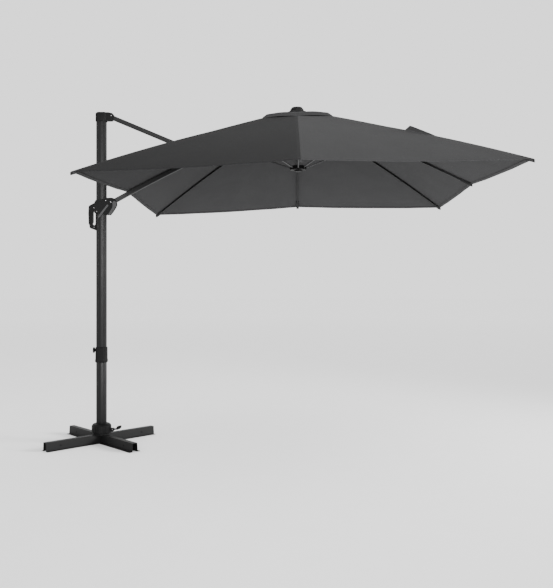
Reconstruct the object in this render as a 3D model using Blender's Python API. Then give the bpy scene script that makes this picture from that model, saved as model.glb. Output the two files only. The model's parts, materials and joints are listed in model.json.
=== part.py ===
"""Cantilever parasol: cross base, turning mast, folding arm linkage, ribbed square canopy.

Row frame in metres: origin on the mast axis at floor level, +Z up, +X towards the canopy.
Every moving piece hangs from an empty that stands on its joint axis.
"""

import math

import bmesh
import bpy
from mathutils import Matrix, Vector

# ---- base -------------------------------------------------------------------
BAR_HALF_LENGTH = 0.520
BAR_HEIGHT = 0.072
BAR_TOP_HALF = 0.0225
BAR_FOOT_HALF = 0.027
BAR_FLANGE_HALF = 0.051
BAR_SHEET = 0.003
BAR_HOLE_FROM_END = 0.130
PLATE_RADIUS = 0.074
PLATE_THICK = 0.006
BOLT_CIRCLE = 0.058
HOUSING_RADIUS = 0.082
HOUSING_TOP = 0.162

# ---- mast -------------------------------------------------------------------
MAST_HALF_X = 0.043
MAST_HALF_Y = 0.030
MAST_CORNER = 0.019
MAST_WALL = 0.0025
MAST_SPLIT = 0.742
MAST_TOP = 2.802
COLLAR_LOW, COLLAR_HIGH = 0.686, 0.815
KNOB_Z = 0.790

# ---- arm linkage: three pivots in a row on the arm, the middle one on the stay --
PIVOT_X = 0.090
PIVOT_TOP = 2.797
PIVOT_LOW = 2.056
CROWN_X = 1.678
TUBE_HALF_Y = 0.015
TUBE_HALF_Z = 0.019
TUBE_WALL = 0.002
ARM_BOW = 0.030
STAY_OFFSET_TOP = -0.010
STAY_OFFSET_END = 0.024
FORK_LENGTH = 0.190
PIN_RADIUS = 0.005

# ---- canopy -----------------------------------------------------------------
CANOPY_TILT = 0.024
HALF_SIDE = 1.500
MID_REACH = 1.476
HINGE_R = 0.060
HINGE_Z = -0.020
STRUT_LENGTH = 0.615
STRUT_ANGLE = math.radians(20.5)
RIB_HALF_T = 0.0055
RIB_HALF_H = 0.0095
MID_ROOT_Z, MID_TIP_Z, MID_BOW = -0.004, -0.632, 0.0305
CORNER_ROOT_Z, CORNER_TIP_Z, CORNER_BOW = -0.014, -0.683, 0.0310
MID_TIP_R, CORNER_TIP_R = 1.462, 2.124
CLOTH = 0.0012
CLOTH_LIFT = 0.0048
CLOTH_SAG = 0.012
VENT_MID_R, VENT_CORNER_R = 0.284, 0.402
HOLE_SHARE = 0.129
RIB_ANGLES = (0, 45, 90, 135, 225, 270, 315)
PANEL_ANGLES = (0, 45, 90, 135, 180, 225, 270, 315)

GAP = 0.0004
SEGMENTS = 32

PIVOT_A = Vector((PIVOT_X, 0.0, PIVOT_TOP))
PIVOT_C = Vector((PIVOT_X, 0.0, PIVOT_LOW))
PIVOT_D = Vector((CROWN_X, 0.0, PIVOT_TOP))
PIVOT_B = (PIVOT_C + PIVOT_D) / 2
CANOPY = Matrix.Translation(PIVOT_D) @ Matrix.Rotation(-CANOPY_TILT, 4, "Y")


# ---- scene and materials ------------------------------------------------------
for old in list(bpy.data.objects):
    bpy.data.objects.remove(old)

PALETTE = {
    "powder_coat": ((0.055, 0.056, 0.058), 0.5, 0.2),
    "mast_metal": ((0.075, 0.076, 0.079), 0.4, 0.6),
    "base_metal": ((0.030, 0.031, 0.032), 0.55, 0.2),
    "black_plastic": ((0.020, 0.020, 0.021), 0.5, 0.0),
    "grey_plastic": ((0.120, 0.122, 0.125), 0.45, 0.0),
    "strut_metal": ((0.420, 0.425, 0.430), 0.35, 0.8),
    "pin_steel": ((0.500, 0.505, 0.510), 0.3, 1.0),
    "cloth": ((0.058, 0.059, 0.061), 0.9, 0.0),
}


def material_for(node, kind):
    colour, roughness, metallic = PALETTE[kind]
    made = bpy.data.materials.new(node + "_" + kind)
    made.use_nodes = True
    shader = made.node_tree.nodes["Principled BSDF"]
    shader.inputs["Base Color"].default_value = (*colour, 1.0)
    shader.inputs["Roughness"].default_value = roughness
    shader.inputs["Metallic"].default_value = metallic
    return made


PIVOTS = {}


def body(name, pivot, parent=None):
    """An empty on a joint axis; the pieces of one moving body hang from it."""
    empty = bpy.data.objects.new("axis_" + name, None)
    bpy.context.scene.collection.objects.link(empty)
    pivot = Vector(pivot)
    if parent is not None:
        empty.parent = parent
        empty.location = pivot - PIVOTS[parent.name]
    else:
        empty.location = pivot
    PIVOTS[empty.name] = pivot
    return empty


def mesh_object(name, points, faces):
    mesh = bpy.data.meshes.new(name)
    mesh.from_pydata([tuple(p) for p in points], [], faces)
    work = bmesh.new()
    work.from_mesh(mesh)
    bmesh.ops.recalc_face_normals(work, faces=work.faces)
    work.to_mesh(mesh)
    work.free()
    made = bpy.data.objects.new(name, mesh)
    bpy.context.scene.collection.objects.link(made)
    return made


def piece(made, parent, kind, smooth=False):
    """Hangs a finished mesh from its body, with the mesh origin on the joint axis."""
    made.data.materials.append(material_for(made.name, kind))
    made.data.transform(Matrix.Translation(-PIVOTS[parent.name]))
    made.parent = parent
    if smooth:
        made.data.shade_smooth()
        work = bmesh.new()
        work.from_mesh(made.data)
        for edge in work.edges:
            edge.smooth = len(edge.link_faces) == 2 and edge.calc_face_angle() < 0.6
        work.to_mesh(made.data)
        work.free()
    return made


def boolean(target, tool, operation):
    tool.hide_render = True
    tool.display_type = "WIRE"
    step = target.modifiers.new(operation.lower() + "_" + tool.name, "BOOLEAN")
    step.operation = operation
    step.solver = "EXACT"
    step.object = tool
    return target


def cut(target, *tools):
    for tool in tools:
        boolean(target, tool, "DIFFERENCE")
    return target


def join(target, *tools):
    for tool in tools:
        boolean(target, tool, "UNION")
    return target


# ---- shapes -------------------------------------------------------------------
def loft(name, rings, hollow=False):
    """Skin over equal rings. Capped at both ends, or closed on itself when hollow."""
    count = len(rings[0])
    points = [p for ring in rings for p in ring]
    last = len(rings) if hollow else len(rings) - 1
    faces = []
    for i in range(last):
        a, b = i * count, ((i + 1) % len(rings)) * count
        for k in range(count):
            n = (k + 1) % count
            faces.append((a + k, a + n, b + n, b + k))
    if not hollow:
        faces.append(tuple(range(count)))
        faces.append(tuple(range(len(points) - count, len(points))))
    return mesh_object(name, points, faces)


def prism(name, outline, low, high, place=None):
    """An outline in X and Z, thickened along Y from low to high, then placed."""
    rings = [[Vector((x, y, z)) for x, z in outline] for y in (low, high)]
    made = loft(name, rings)
    if place is not None:
        made.data.transform(place)
    return made


def slab(name, low, high, place=None):
    (x0, y0, z0), (x1, y1, z1) = low, high
    return prism(name, [(x0, z0), (x1, z0), (x1, z1), (x0, z1)], y0, y1, place)


def circle(radius, count=SEGMENTS, centre=(0.0, 0.0)):
    return [
        (
            centre[0] + radius * math.cos(math.tau * k / count),
            centre[1] + radius * math.sin(math.tau * k / count),
        )
        for k in range(count)
    ]


def rod(name, centre, radius, half, count=20, place=None):
    """A cylinder along Y about a centre given in X and Z."""
    return prism(name, circle(radius, count, centre), -half, half, place)


def lathe(name, profile, count=SEGMENTS, centre=(0.0, 0.0), hollow=False, place=None):
    """Turns (radius, height) pairs about Z."""
    rings = [
        [Vector((x, y, z)) for x, y in circle(r, count, centre)] for r, z in profile
    ]
    made = loft(name, rings, hollow)
    if place is not None:
        made.data.transform(place)
    return made


def rounded(half_x, half_y, corner, steps=4):
    """A rounded rectangle, one quarter arc at each corner."""
    points = []
    for sx, sy, start in ((1, 1, 0), (-1, 1, 1), (-1, -1, 2), (1, -1, 3)):
        for k in range(steps + 1):
            a = math.pi / 2 * (start + k / steps)
            points.append(
                (
                    sx * (half_x - corner) + corner * math.cos(a),
                    sy * (half_y - corner) + corner * math.sin(a),
                )
            )
    return points


def level(outline, z):
    return [Vector((x, y, z)) for x, y in outline]


def mast_outline(grow=0.0, steps=4):
    return rounded(MAST_HALF_X + grow, MAST_HALF_Y + grow, MAST_CORNER + grow, steps)


def even_circle(radius, count):
    """A circle with as many points as a rounded rectangle, in the same order."""
    turn = math.tau / count
    return [
        (radius * math.cos(turn * (k + 0.5)), radius * math.sin(turn * (k + 0.5)))
        for k in range(count)
    ]


def sleeve(name, inner, outer_levels, low, high):
    """A ring between an inner outline and outer outlines given as (outline, z)."""
    rings = [level(outline, z) for outline, z in outer_levels]
    rings += [level(inner, high), level(inner, low)]
    return loft(name, rings, hollow=True)


def arc(centre, radius, start, end, steps):
    """Points of a circular arc between two angles in degrees."""
    points = []
    for k in range(steps + 1):
        a = math.radians(start + (end - start) * k / steps)
        points.append(
            (centre[0] + radius * math.cos(a), centre[1] + radius * math.sin(a))
        )
    return points


# ---- tubes that run in the XZ plane ---------------------------------------------
def along(start, end, share, offset):
    """A point on the line start-end, pushed off it at right angles."""
    run = end - start
    normal = Vector((-run.z, 0.0, run.x)).normalized()
    return start + run * share + normal * offset


def plane_tube(name, line, half_y, half_z, wall):
    """A rectangular tube, open at both ends, that follows a line in the XZ plane."""
    skins = []
    for shrink in (0.0, wall):
        outline = rounded(half_z - shrink, half_y - shrink, 0.006 - shrink, 2)
        rings = []
        for k, centre in enumerate(line):
            before, after = line[max(k - 1, 0)], line[min(k + 1, len(line) - 1)]
            run = (after - before).normalized()
            up = Vector((-run.z, 0.0, run.x))
            side = Vector((0.0, 1.0, 0.0))
            rings.append([centre + up * a + side * b for a, b in outline])
        skins.append(rings)
    return loft(name, skins[0] + skins[1][::-1], hollow=True)


def arm_offset(share):
    return 4 * ARM_BOW * share * (1 - share)


def arm_axis(share):
    return along(PIVOT_C, PIVOT_D, share, arm_offset(share))


def stay_axis(share):
    offset = STAY_OFFSET_TOP + (STAY_OFFSET_END - STAY_OFFSET_TOP) * share
    return along(PIVOT_A, PIVOT_B, share, offset)


# ---- base -------------------------------------------------------------------
base = body("base", (0, 0, 0))


def hat_bar(name, angle, start, end):
    """One folded sheet bar: flat top, splayed walls and two floor flanges."""
    sheet = BAR_SHEET
    outline = [
        (-BAR_FLANGE_HALF, 0.0),
        (-BAR_FLANGE_HALF, sheet),
        (-BAR_FOOT_HALF, sheet),
        (-BAR_TOP_HALF, BAR_HEIGHT),
        (BAR_TOP_HALF, BAR_HEIGHT),
        (BAR_FOOT_HALF, sheet),
        (BAR_FLANGE_HALF, sheet),
        (BAR_FLANGE_HALF, 0.0),
        (BAR_FOOT_HALF - sheet, 0.0),
        (BAR_TOP_HALF - sheet, BAR_HEIGHT - sheet),
        (-BAR_TOP_HALF + sheet, BAR_HEIGHT - sheet),
        (-BAR_FOOT_HALF + sheet, 0.0),
    ]
    rings = [[Vector((x, across, up)) for across, up in outline] for x in (start, end)]
    made = loft(name, rings)
    spin = Matrix.Rotation(math.radians(angle), 4, "Z")
    made.data.transform(spin)
    if start > 0:
        low, high = (0.0, -0.06, -0.01), (BAR_FLANGE_HALF + GAP, 0.06, BAR_SHEET + GAP)
        cut(made, slab(f"cut_{name}_notch", low, high, spin))
    ends = [x for x in (start, end) if abs(x) > 0.1]
    for k, x in enumerate(ends):
        hole_x = x - math.copysign(BAR_HOLE_FROM_END, x)
        cut(made, rod(f"cut_{name}_side_{k}", (hole_x, 0.036), 0.004, 0.06, 12, spin))
        bolt_x = math.copysign(BOLT_CIRCLE, x)
        hole = lathe(f"cut_{name}_bolt_{k}", [(0.0044, 0.05), (0.0044, 0.09)], 16)
        hole.data.transform(spin @ Matrix.Translation((bolt_x, 0, 0)))
        cut(made, hole)
    return piece(made, base, "base_metal")


hat_bar("cross_bar_long", 45, -BAR_HALF_LENGTH, BAR_HALF_LENGTH)
hat_bar("cross_bar_near", -45, BAR_FOOT_HALF + 2 * GAP, BAR_HALF_LENGTH)
hat_bar("cross_bar_far", 135, BAR_FOOT_HALF + 2 * GAP, BAR_HALF_LENGTH)

centre_block = slab(
    "centre_block",
    (-0.030, -BAR_TOP_HALF + BAR_SHEET + GAP, 0.0),
    (0.030, BAR_TOP_HALF - BAR_SHEET - GAP, BAR_HEIGHT - BAR_SHEET - GAP),
    Matrix.Rotation(math.radians(45), 4, "Z"),
)
piece(centre_block, base, "base_metal")

PLATE_LOW = BAR_HEIGHT + GAP
PLATE_HIGH = PLATE_LOW + PLATE_THICK
SPINDLE_TOP = 0.140
turntable = lathe(
    "turntable_plate",
    [
        (PLATE_RADIUS, PLATE_LOW),
        (PLATE_RADIUS, PLATE_HIGH),
        (0.022, PLATE_HIGH),
        (0.022, SPINDLE_TOP),
    ],
)
for k, angle in enumerate((45, 135, 225, 315)):
    spin = Matrix.Rotation(math.radians(angle), 4, "Z")
    spot = spin @ Vector((BOLT_CIRCLE, 0, 0))
    hole = lathe(f"cut_plate_bolt_{k}", [(0.0044, 0.06), (0.0044, 0.09)], 16)
    hole.data.transform(Matrix.Translation(spot))
    cut(turntable, hole)
    bolt = lathe(
        f"base_bolt_{k + 1}",
        [
            (0.004, 0.056),
            (0.004, PLATE_HIGH + GAP),
            (0.0075, PLATE_HIGH + GAP),
            (0.0075, PLATE_HIGH + 0.0055),
        ],
        12,
    )
    bolt.data.transform(Matrix.Translation(spot))
    piece(bolt, base, "pin_steel", smooth=True)
piece(turntable, base, "base_metal", smooth=True)

# ---- mast -------------------------------------------------------------------
mast = body("mast", (0, 0, 0.0), base)

HOUSING_LOW = PLATE_HIGH + 0.001
RECESS = PLATE_HIGH + 0.0075
housing_hole = mast_outline(GAP, steps=7)


def housing_ring(radius, z):
    return level(even_circle(radius, len(housing_hole)), z)


housing = loft(
    "hub_housing",
    [
        housing_ring(HOUSING_RADIUS - 0.006, HOUSING_LOW),
        housing_ring(HOUSING_RADIUS, HOUSING_LOW + 0.006),
        housing_ring(HOUSING_RADIUS, HOUSING_TOP - 0.016),
        housing_ring(HOUSING_RADIUS - 0.009, HOUSING_TOP - 0.004),
        housing_ring(HOUSING_RADIUS - 0.016, HOUSING_TOP),
        level(housing_hole, HOUSING_TOP),
        level(housing_hole, RECESS),
        housing_ring(HOUSING_RADIUS - 0.009, RECESS),
        housing_ring(HOUSING_RADIUS - 0.009, HOUSING_LOW),
    ],
    hollow=True,
)
piece(housing, mast, "black_plastic", smooth=True)

MAST_LOW = RECESS + 0.0005
foot_outer = mast_outline(-MAST_WALL - GAP, steps=7)
foot_inner = even_circle(0.0225, len(foot_outer))
piece(
    sleeve(
        "mast_foot_bush",
        foot_inner,
        [(foot_outer, MAST_LOW), (foot_outer, 0.136)],
        MAST_LOW,
        0.136,
    ),
    mast,
    "black_plastic",
)


def mast_tube(name, low, high):
    outer, inner = mast_outline(), mast_outline(-MAST_WALL)
    return piece(
        sleeve(name, inner, [(outer, low), (outer, high)], low, high),
        mast,
        "mast_metal",
        smooth=True,
    )


mast_tube("lower_mast", MAST_LOW, MAST_SPLIT - GAP)
mast_tube("upper_mast", MAST_SPLIT, MAST_TOP)

collar_in = mast_outline(GAP)


def collar_ring(grow):
    return rounded(MAST_HALF_X + grow, MAST_HALF_Y + grow, MAST_CORNER + grow * 0.8)


collar = sleeve(
    "mast_collar",
    collar_in,
    [
        (collar_ring(0.0065), COLLAR_LOW),
        (collar_ring(0.0095), COLLAR_LOW + 0.008),
        (collar_ring(0.0090), COLLAR_LOW + 0.024),
        (collar_ring(0.0070), COLLAR_LOW + 0.030),
        (collar_ring(0.0065), COLLAR_HIGH - 0.003),
        (collar_ring(0.0045), COLLAR_HIGH),
    ],
    COLLAR_LOW,
    COLLAR_HIGH,
)
turn_to_x = Matrix.Rotation(math.radians(-90), 4, "Y")
knob_place = Matrix.Translation((-MAST_HALF_X, 0, KNOB_Z)) @ turn_to_x
collar_face = MAST_HALF_X + 0.0065
collar_pocket = lathe(
    "cut_collar_pocket",
    [(0.0062, 0.003), (0.0062, 0.030)],
    16,
    place=knob_place,
)
cut(collar, collar_pocket)
piece(collar, mast, "black_plastic", smooth=True)

knob = body("knob", (-collar_face, 0, KNOB_Z), mast)
piece(
    lathe(
        "collar_knob",
        [
            (0.0058, 0.0034),
            (0.0058, 0.012),
            (0.0125, 0.0135),
            (0.0235, 0.0175),
            (0.0265, 0.0225),
            (0.0240, 0.0275),
            (0.0120, 0.0300),
        ],
        24,
        place=knob_place,
    ),
    knob,
    "black_plastic",
    smooth=True,
)

# ---- mast cap with the upper hinge ------------------------------------------------
CAP_LOW, CAP_HIGH = 2.752, 2.832
cap = loft(
    "mast_cap",
    [
        level(rounded(0.0475, 0.0345, 0.021), CAP_LOW),
        level(rounded(0.0480, 0.0350, 0.021), CAP_LOW + 0.003),
        level(rounded(0.0480, 0.0350, 0.021), CAP_HIGH - 0.020),
        level(rounded(0.0465, 0.0335, 0.021), CAP_HIGH - 0.010),
        level(rounded(0.0380, 0.0250, 0.019), CAP_HIGH - 0.002),
        level(rounded(0.0250, 0.0150, 0.012), CAP_HIGH),
    ],
)
cap_horn = prism(
    "add_cap_horn",
    [
        (0.030, CAP_LOW + 0.004),
        (0.088, CAP_LOW + 0.004),
        (0.104, CAP_LOW + 0.016),
        (0.110, CAP_LOW + 0.034),
        (0.109, CAP_LOW + 0.050),
        (0.098, CAP_LOW + 0.066),
        (0.070, CAP_LOW + 0.074),
        (0.030, CAP_LOW + 0.075),
    ],
    -0.026,
    0.026,
)
join(cap, cap_horn)
cap_pocket = loft(
    "cut_cap_pocket",
    [level(mast_outline(GAP), CAP_LOW - 0.02), level(mast_outline(GAP), MAST_TOP + GAP)],
)
cap_slot = slab("cut_cap_slot", (0.0520, -0.0157, 2.70), (0.130, 0.0157, 2.8165))
cap_bore = rod("cut_cap_bore", (PIVOT_A.x, PIVOT_A.z), PIN_RADIUS + 0.0001, 0.04)
cut(cap, cap_pocket, cap_slot, cap_bore)
piece(cap, mast, "black_plastic", smooth=True)
piece(
    rod("stay_pin", (PIVOT_A.x, PIVOT_A.z), PIN_RADIUS, 0.0255),
    mast,
    "pin_steel",
    smooth=True,
)

# ---- foot pedal ---------------------------------------------------------------------
PEDAL = Vector((0.098, 0.0, 0.110))
pedal_bracket = slab(
    "pedal_bracket",
    (HOUSING_RADIUS - 0.0045, -0.017, PEDAL.z - 0.016),
    (PEDAL.x + 0.008, 0.017, PEDAL.z + 0.011),
)
bracket_seat = lathe(
    "cut_bracket_seat", [(HOUSING_RADIUS + 0.0002, 0.05), (HOUSING_RADIUS + 0.0002, 0.2)], 64
)
bracket_slot = slab(
    "cut_bracket_slot", (PEDAL.x - 0.0095, -0.0095, 0.05), (PEDAL.x + 0.02, 0.0095, 0.2)
)
bracket_bore = rod("cut_bracket_bore", (PEDAL.x, PEDAL.z), 0.0031, 0.03, 16)
cut(pedal_bracket, bracket_seat, bracket_slot, bracket_bore)
piece(pedal_bracket, mast, "black_plastic")
piece(rod("pedal_pin", (PEDAL.x, PEDAL.z), 0.003, 0.0165, 16), mast, "pin_steel", True)

pedal = body("pedal", PEDAL, mast)
pedal_side = [
    (PEDAL.x - 0.007, PEDAL.z - 0.005),
    (PEDAL.x - 0.004, PEDAL.z - 0.0075),
    (PEDAL.x + 0.010, PEDAL.z - 0.006),
    (PEDAL.x + 0.026, PEDAL.z - 0.003),
    (PEDAL.x + 0.060, PEDAL.z + 0.008),
    (PEDAL.x + 0.060, PEDAL.z + 0.019),
    (PEDAL.x + 0.026, PEDAL.z + 0.009),
    (PEDAL.x + 0.006, PEDAL.z + 0.007),
    (PEDAL.x - 0.004, PEDAL.z + 0.0065),
    (PEDAL.x - 0.007, PEDAL.z + 0.003),
]
pedal_lever = prism("foot_pedal", pedal_side, -0.0085, 0.0085)
tread_side = [
    (PEDAL.x + 0.034, PEDAL.z - 0.004),
    (PEDAL.x + 0.062, PEDAL.z + 0.006),
    (PEDAL.x + 0.071, PEDAL.z + 0.015),
    (PEDAL.x + 0.070, PEDAL.z + 0.023),
    (PEDAL.x + 0.060, PEDAL.z + 0.022),
    (PEDAL.x + 0.033, PEDAL.z + 0.013),
]
pedal_tread = prism("add_pedal_tread", tread_side, -0.019, 0.019)
join(pedal_lever, pedal_tread)
cut(pedal_lever, rod("cut_pedal_bore", (PEDAL.x, PEDAL.z), 0.0031, 0.03, 16))
piece(pedal_lever, pedal, "black_plastic")

# ---- stay: the upper bar from the mast cap to the middle of the arm ---------------------
stay = body("stay", PIVOT_A, mast)
REACH = (PIVOT_B - PIVOT_A).length
stay_line = [stay_axis(-0.012 / REACH), stay_axis(0.5), stay_axis(1 - FORK_LENGTH / REACH)]
stay_tube = plane_tube("stay_tube", stay_line, TUBE_HALF_Y, TUBE_HALF_Z, TUBE_WALL)
cut(stay_tube, rod("cut_stay_bore", (PIVOT_A.x, PIVOT_A.z), PIN_RADIUS + 0.0001, 0.03))
piece(stay_tube, stay, "powder_coat", smooth=True)

stay_run = (PIVOT_B - PIVOT_A).normalized()
STAY_FRAME = Matrix(
    (
        (stay_run.x, 0, -stay_run.z, PIVOT_B.x),
        (0, 1, 0, 0),
        (stay_run.z, 0, stay_run.x, PIVOT_B.z),
        (0, 0, 0, 1),
    )
)
fork_top = STAY_OFFSET_END - 0.004
fork = prism(
    "stay_fork",
    [(-0.245, fork_top - 0.019), (-0.150, fork_top - 0.019), (-0.060, -0.006)]
    + arc((0.0, 0.0), 0.016, -110, 90, 8)
    + [(-0.030, 0.020), (-0.120, fork_top + 0.019), (-0.245, fork_top + 0.019)],
    -TUBE_HALF_Y - 0.0045,
    TUBE_HALF_Y + 0.0045,
    STAY_FRAME,
)
fork_slot = slab(
    "cut_fork_slot",
    (-FORK_LENGTH + 0.020, -TUBE_HALF_Y - 0.0008, -0.08),
    (0.05, TUBE_HALF_Y + 0.0008, 0.08),
    STAY_FRAME,
)
fork_pocket = slab(
    "cut_fork_pocket",
    (-0.30, -TUBE_HALF_Y - GAP, -0.08),
    (-FORK_LENGTH + 0.006, TUBE_HALF_Y + GAP, 0.08),
    STAY_FRAME,
)
fork_bore = rod("cut_fork_bore", (0.0, 0.0), PIN_RADIUS + 0.0001, 0.03, 20, STAY_FRAME)
cut(fork, fork_slot, fork_pocket, fork_bore)
piece(fork, stay, "black_plastic")
piece(
    rod("elbow_pin", (PIVOT_B.x, PIVOT_B.z), PIN_RADIUS, TUBE_HALF_Y + 0.007),
    stay,
    "pin_steel",
    smooth=True,
)

# ---- main arm ---------------------------------------------------------------------------
arm = body("arm", PIVOT_B, stay)
SPAN = (PIVOT_D - PIVOT_C).length
ends = 0.016 / SPAN
shares = [-ends + (1 + 2 * ends) * k / 10 for k in range(11)]
arm_tube = plane_tube(
    "arm_tube", [arm_axis(s) for s in shares], TUBE_HALF_Y, TUBE_HALF_Z, TUBE_WALL
)
cut(
    arm_tube,
    rod("cut_arm_low", (PIVOT_C.x, PIVOT_C.z), PIN_RADIUS + 0.0001, 0.03),
    rod("cut_arm_high", (PIVOT_D.x, PIVOT_D.z), PIN_RADIUS + 0.0001, 0.03),
)
piece(arm_tube, arm, "powder_coat", smooth=True)

arm_run = (PIVOT_D - PIVOT_C).normalized()
ARM_FRAME = Matrix(
    (
        (arm_run.x, 0, -arm_run.z, PIVOT_B.x),
        (0, 1, 0, 0),
        (arm_run.z, 0, arm_run.x, PIVOT_B.z),
        (0, 0, 0, 1),
    )
)
lug_top = ARM_BOW - TUBE_HALF_Z - GAP
lug = prism(
    "arm_lug",
    [(-0.034, lug_top - 0.0002), (-0.030, lug_top - 0.007)]
    + arc((0.0, 0.0), 0.012, 205, 335, 6)
    + [(0.030, lug_top - 0.007), (0.034, lug_top - 0.0002)],
    -TUBE_HALF_Y + 0.0005,
    TUBE_HALF_Y - 0.0005,
    ARM_FRAME,
)
cut(lug, rod("cut_lug_bore", (0.0, 0.0), PIN_RADIUS + 0.0001, 0.03, 20, ARM_FRAME))
piece(lug, arm, "black_plastic")
piece(
    rod("carriage_pin", (PIVOT_C.x, PIVOT_C.z), PIN_RADIUS, 0.0430),
    arm,
    "pin_steel",
    smooth=True,
)
piece(
    rod("crown_pin", (PIVOT_D.x, PIVOT_D.z), PIN_RADIUS, 0.0340),
    arm,
    "pin_steel",
    smooth=True,
)

# ---- carriage: slides on the mast and carries the arm's foot and the handle -----------------
carriage = body("carriage", PIVOT_C, arm)
SLEEVE_LOW, SLEEVE_HIGH = 1.958, 2.074
runner_in = rounded(MAST_HALF_X + 0.0012, MAST_HALF_Y + 0.0012, MAST_CORNER)
runner_out = rounded(MAST_HALF_X + 0.0065, MAST_HALF_Y + 0.0065, MAST_CORNER)
piece(
    sleeve(
        "carriage_sleeve",
        runner_in,
        [(runner_out, SLEEVE_LOW), (runner_out, SLEEVE_HIGH)],
        SLEEVE_LOW,
        SLEEVE_HIGH,
    ),
    carriage,
    "black_plastic",
    smooth=True,
)

CHEEK_SIDE = [
    (-0.0505, 1.962),
    (0.030, 1.952),
    (0.072, 1.950),
    (0.094, 1.978),
    (0.116, 2.012),
    (0.127, 2.035),
    (0.126, 2.070),
    (0.116, 2.088),
    (0.094, 2.094),
    (0.060, 2.092),
    (0.010, 2.081),
    (-0.0505, 2.060),
]
for name, side in (("cheek_near", -1), ("cheek_far", 1)):
    low, high = sorted((side * (TUBE_HALF_Y + 0.0008), side * 0.0435))
    cheek = prism(name, CHEEK_SIDE, low, high)
    room = slab(f"cut_{name}_room", (-0.08, -0.0369, 1.90), (0.0500, 0.0369, 2.12))
    bore = rod(f"cut_{name}_bore", (PIVOT_C.x, PIVOT_C.z), PIN_RADIUS + 0.0001, 0.06)
    cut(cheek, room, bore)
    piece(cheek, carriage, "black_plastic")

HANDLE_OUT = [
    (-0.0510, 1.9560),
    (-0.0510, 2.0540),
    (-0.0600, 2.0520),
    (-0.1030, 2.0290),
    (-0.1085, 2.0180),
    (-0.1110, 1.9600),
    (-0.1080, 1.8900),
    (-0.0980, 1.8400),
    (-0.0900, 1.8330),
    (-0.0460, 1.8170),
    (-0.0446, 1.8200),
    (-0.0446, 1.9560),
]
handle = prism("lift_handle", HANDLE_OUT, -0.0160, 0.0160)
finger_slot = prism(
    "cut_finger_slot",
    [
        (-0.0700, 1.8640),
        (-0.0620, 1.8590),
        (-0.0510, 1.8650),
        (-0.0485, 1.8780),
        (-0.0485, 1.9740),
        (-0.0530, 1.9820),
        (-0.0650, 1.9820),
        (-0.0700, 1.9740),
        (-0.0700, 1.8860),
        (-0.0750, 1.8790),
        (-0.0760, 1.8700),
    ],
    -0.03,
    0.03,
)
cut(handle, finger_slot)
piece(handle, carriage, "black_plastic")

LEVER = Vector((0.121, 0.0, 2.048))
lever = body("lever", LEVER, carriage)
lever_side = [
    (0.1075, 2.0480),
    (0.1130, 2.0590),
    (0.1230, 2.0630),
    (0.1340, 2.0580),
    (0.1390, 2.0460),
    (0.1360, 2.0260),
    (0.1230, 2.0000),
    (0.0930, 1.9560),
    (0.0820, 1.9450),
    (0.0720, 1.9520),
    (0.0830, 1.9700),
    (0.1080, 2.0120),
]
lever_plate = prism("release_lever", lever_side, -0.0560, -0.0439)
lever_axle = rod("add_lever_axle", (LEVER.x, LEVER.z), 0.004, 0.010, 16)
lever_axle.data.transform(Matrix.Translation((0, -0.0440, 0)))
join(lever_plate, lever_axle)
piece(lever_plate, lever, "grey_plastic")
lever_seat = rod("cut_lever_seat", (LEVER.x, LEVER.z), 0.0041, 0.0105, 16)
lever_seat.data.transform(Matrix.Translation((0, -0.0440, 0)))
cut(bpy.data.objects["cheek_near"], lever_seat)


# ---- canopy frame: crown, ribs, struts and runner -----------------------------------------------
crown = body("crown", PIVOT_D, arm)
HINGE = (HINGE_R, HINGE_Z)
KNEE = (
    HINGE_R + STRUT_LENGTH * math.cos(STRUT_ANGLE),
    HINGE_Z - STRUT_LENGTH * math.sin(STRUT_ANGLE),
)
RUNNER = (HINGE_R, HINGE_Z - 2 * STRUT_LENGTH * math.sin(STRUT_ANGLE))


def spoke(angle):
    """Places a shape drawn in the plane of one rib (X outwards, Z up)."""
    return CANOPY @ Matrix.Rotation(math.radians(angle), 4, "Z")


def on_rib(angle, spot):
    return spoke(angle) @ Vector((spot[0], 0.0, spot[1]))


crown_hub = lathe(
    "crown_hub",
    [
        (0.066, -0.038),
        (0.072, -0.034),
        (0.072, 0.006),
        (0.066, 0.010),
        (0.042, 0.011),
        (0.038, 0.0325),
    ],
    48,
    place=CANOPY,
)
crown_slot = slab(
    "cut_crown_slot", (-0.10, -0.0158, -0.06), (0.0260, 0.0158, 0.0260), CANOPY
)
crown_bore = rod("cut_crown_bore", (0.0, 0.0), PIN_RADIUS + 0.0001, 0.0345, 20, CANOPY)
cut(crown_hub, crown_slot, crown_bore)
for angle in RIB_ANGLES:
    cut(
        crown_hub,
        slab(
            f"cut_crown_notch_{angle}",
            (0.0440, -0.0062, -0.06),
            (0.100, 0.0062, 0.05),
            spoke(angle),
        ),
    )
for angle in RIB_ANGLES:
    join(crown_hub, rod(f"add_crown_pin_{angle}", HINGE, 0.003, 0.0085, 12, spoke(angle)))
piece(crown_hub, crown, "black_plastic")

piece(
    lathe(
        "finial",
        [
            (0.014, 0.0328),
            (0.014, 0.0376),
            (0.0575, 0.0380),
            (0.0595, 0.0405),
            (0.0570, 0.0470),
            (0.0455, 0.0610),
            (0.0400, 0.0645),
            (0.0200, 0.0660),
        ],
        32,
        place=CANOPY,
    ),
    crown,
    "black_plastic",
    smooth=True,
)


def rib_line(corner, reach):
    """Height of a rib's centre line at a distance from the canopy axis."""
    root, tip, bow, far = (
        (CORNER_ROOT_Z, CORNER_TIP_Z, CORNER_BOW, CORNER_TIP_R)
        if corner
        else (MID_ROOT_Z, MID_TIP_Z, MID_BOW, MID_TIP_R)
    )
    share = (reach - HINGE_R) / (far - HINGE_R)
    return root + (tip - root) * share + 4 * bow * share * (1 - share)


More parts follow.
